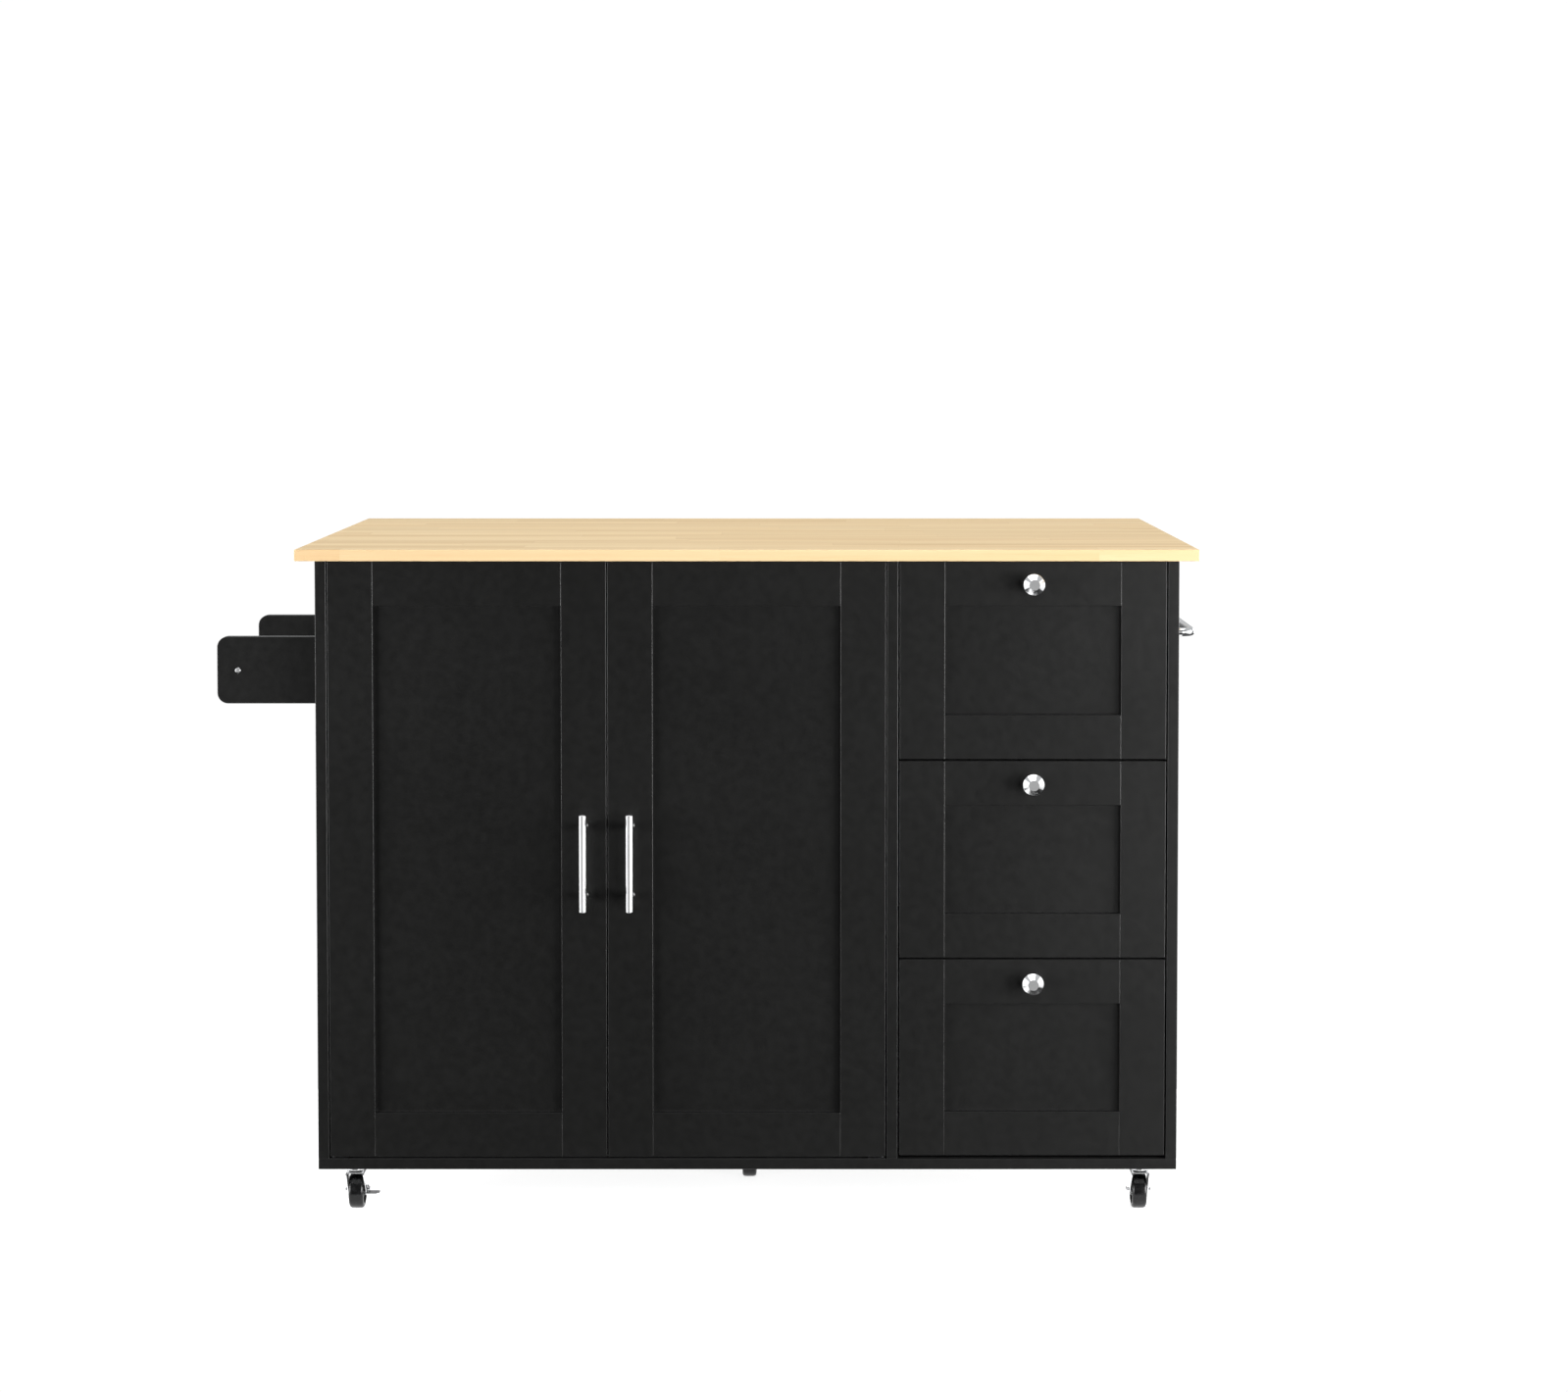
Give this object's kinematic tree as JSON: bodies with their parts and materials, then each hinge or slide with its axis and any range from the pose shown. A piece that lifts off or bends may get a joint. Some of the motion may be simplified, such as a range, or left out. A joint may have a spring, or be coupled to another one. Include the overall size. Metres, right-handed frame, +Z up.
{
  "type": "butcher block table",
  "caption": "Rolling kitchen-island table: butcher-block top with a drop leaf over a black cabinet with doors and drawers, a side spice rack, a towel bar and swivel casters.",
  "frame": {"origin": "middle of the bounding box's footprint, on the floor under the casters", "axes": "+Z up, +X to the right along the worktop as seen from the doors, +Y from the doors towards the drop leaf at the back"},
  "size_m": [1.363, 0.765, 0.931],
  "materials": {
    "black_paint": "satin black paint on board",
    "drawer_board": "matt black laminate on board",
    "butcher_block": "clear satin lacquer on pale glued staves",
    "chrome": "polished",
    "zinc_steel": "bright zinc plate",
    "wheel_black": "satin black nylon"
  },
  "bodies": {
    "root": {"bottom_panel": "black_paint", "left_side_panel": "black_paint", "right_side_panel": "black_paint", "divider_panel": "black_paint", "back_panel": "black_paint", "top_stretchers": "black_paint", "adjustable_shelf": "black_paint", "shelf_pins": "zinc_steel", "worktop": "butcher_block", "leaf_hinges_fixed": "zinc_steel", "strut_channels": "zinc_steel", "hinge_pins": "zinc_steel", "cabinet_runners": "zinc_steel", "rack_front_plate": "black_paint", "rack_rear_plate": "black_paint", "rack_shelf": "black_paint", "rack_rod": "black_paint", "rack_screws": "chrome", "towel_bar": "chrome", "caster_plates": "chrome"},
    "left_door": {"left_door_frame": "black_paint", "left_door_panel": "black_paint", "left_door_hinge_plates": "zinc_steel", "left_door_pull": "chrome"},
    "right_door": {"right_door_frame": "black_paint", "right_door_panel": "black_paint", "right_door_hinge_plates": "zinc_steel", "right_door_pull": "chrome"},
    "drawer_top": {"drawer_top_front": "black_paint", "drawer_top_box": "drawer_board", "drawer_top_runners": "zinc_steel", "drawer_top_knob": "chrome"},
    "drawer_middle": {"drawer_middle_front": "black_paint", "drawer_middle_box": "drawer_board", "drawer_middle_runners": "zinc_steel", "drawer_middle_knob": "chrome"},
    "drawer_bottom": {"drawer_bottom_front": "black_paint", "drawer_bottom_box": "drawer_board", "drawer_bottom_runners": "zinc_steel", "drawer_bottom_knob": "chrome"},
    "caster_front_left": {"fork_front_left": "chrome"},
    "wheel_front_left": {"wheel_front_left": "wheel_black"},
    "caster_front_right": {"fork_front_right": "chrome"},
    "wheel_front_right": {"wheel_front_right": "wheel_black"},
    "caster_rear_left": {"fork_rear_left": "chrome"},
    "wheel_rear_left": {"wheel_rear_left": "wheel_black"},
    "caster_rear_right": {"fork_rear_right": "chrome"},
    "wheel_rear_right": {"wheel_rear_right": "wheel_black"},
    "caster_centre": {"fork_centre": "chrome"},
    "wheel_centre": {"wheel_centre": "wheel_black"},
    "brake_front_left": {"brake_front_left": "chrome"},
    "brake_rear_right": {"brake_rear_right": "chrome"},
    "leaf": {"leaf_board": "butcher_block", "leaf_hinges_moving": "zinc_steel", "strut_brackets": "zinc_steel"},
    "strut_left": {"leaf_strut_left": "zinc_steel"},
    "strut_right": {"leaf_strut_right": "zinc_steel"}
  },
  "joints": [
    {"name": "left_door_hinge", "type": "hinge", "parent": "root", "child": "left_door", "pos_m": [-0.521, -0.344, 0.4995], "axis": [0, 0, -1], "range_deg": [0, 90]},
    {"name": "right_door_hinge", "type": "hinge", "parent": "root", "child": "right_door", "pos_m": [0.241, -0.344, 0.4995], "axis": [0, 0, 1], "range_deg": [0, 90]},
    {"name": "drawer_top_slide", "type": "slide", "parent": "root", "child": "drawer_top", "axis": [0, -1, 0], "range_m": [0, 0.3]},
    {"name": "drawer_middle_slide", "type": "slide", "parent": "root", "child": "drawer_middle", "axis": [0, -1, 0], "range_m": [0, 0.3]},
    {"name": "drawer_bottom_slide", "type": "slide", "parent": "root", "child": "drawer_bottom", "axis": [0, -1, 0], "range_m": [0, 0.3]},
    {"name": "swivel_front_left", "type": "hinge", "parent": "root", "child": "caster_front_left", "pos_m": [-0.4945, -0.3105, 0.057], "axis": [0, 0, 1], "continuous": true},
    {"name": "roll_front_left", "type": "hinge", "parent": "caster_front_left", "child": "wheel_front_left", "pos_m": [-0.4945, -0.2935, 0.025], "axis": [1, 0, 0], "continuous": true},
    {"name": "swivel_front_right", "type": "hinge", "parent": "root", "child": "caster_front_right", "pos_m": [0.6015, -0.3105, 0.057], "axis": [0, 0, 1], "continuous": true},
    {"name": "roll_front_right", "type": "hinge", "parent": "caster_front_right", "child": "wheel_front_right", "pos_m": [0.6015, -0.2935, 0.025], "axis": [1, 0, 0], "continuous": true},
    {"name": "swivel_rear_left", "type": "hinge", "parent": "root", "child": "caster_rear_left", "pos_m": [-0.4945, 0.0215, 0.057], "axis": [0, 0, 1], "continuous": true},
    {"name": "roll_rear_left", "type": "hinge", "parent": "caster_rear_left", "child": "wheel_rear_left", "pos_m": [-0.4945, 0.0385, 0.025], "axis": [1, 0, 0], "continuous": true},
    {"name": "swivel_rear_right", "type": "hinge", "parent": "root", "child": "caster_rear_right", "pos_m": [0.6015, 0.0215, 0.057], "axis": [0, 0, 1], "continuous": true},
    {"name": "roll_rear_right", "type": "hinge", "parent": "caster_rear_right", "child": "wheel_rear_right", "pos_m": [0.6015, 0.0385, 0.025], "axis": [1, 0, 0], "continuous": true},
    {"name": "swivel_centre", "type": "hinge", "parent": "root", "child": "caster_centre", "pos_m": [0.0535, -0.1445, 0.057], "axis": [0, 0, 1], "continuous": true},
    {"name": "roll_centre", "type": "hinge", "parent": "caster_centre", "child": "wheel_centre", "pos_m": [0.0535, -0.1275, 0.025], "axis": [1, 0, 0], "continuous": true},
    {"name": "brake_front_left_press", "type": "hinge", "parent": "caster_front_left", "child": "brake_front_left", "pos_m": [-0.4945, -0.2935, 0.025], "axis": [1, 0, 0], "range_deg": [-18, 0]},
    {"name": "brake_rear_right_press", "type": "hinge", "parent": "caster_rear_right", "child": "brake_rear_right", "pos_m": [0.6015, 0.0385, 0.025], "axis": [1, 0, 0], "range_deg": [-18, 0]},
    {"name": "leaf_fold", "type": "hinge", "parent": "root", "child": "leaf", "pos_m": [0.0535, 0.10275, 0.9115], "axis": [-1, 0, 0], "range_deg": [0, 90]},
    {"name": "strut_left_fold", "type": "hinge", "parent": "leaf", "child": "strut_left", "pos_m": [-0.3265, 0.27275, 0.8975], "axis": [1, 0, 0], "range_deg": [0, 130]},
    {"name": "strut_right_fold", "type": "hinge", "parent": "leaf", "child": "strut_right", "pos_m": [0.4335, 0.27275, 0.8975], "axis": [1, 0, 0], "range_deg": [0, 130]}
  ],
  "couplings": [
    {"joint": "strut_left_fold", "follows": "leaf_fold", "ratio": 1.4382},
    {"joint": "strut_right_fold", "follows": "leaf_fold", "ratio": 1.4382}
  ]
}
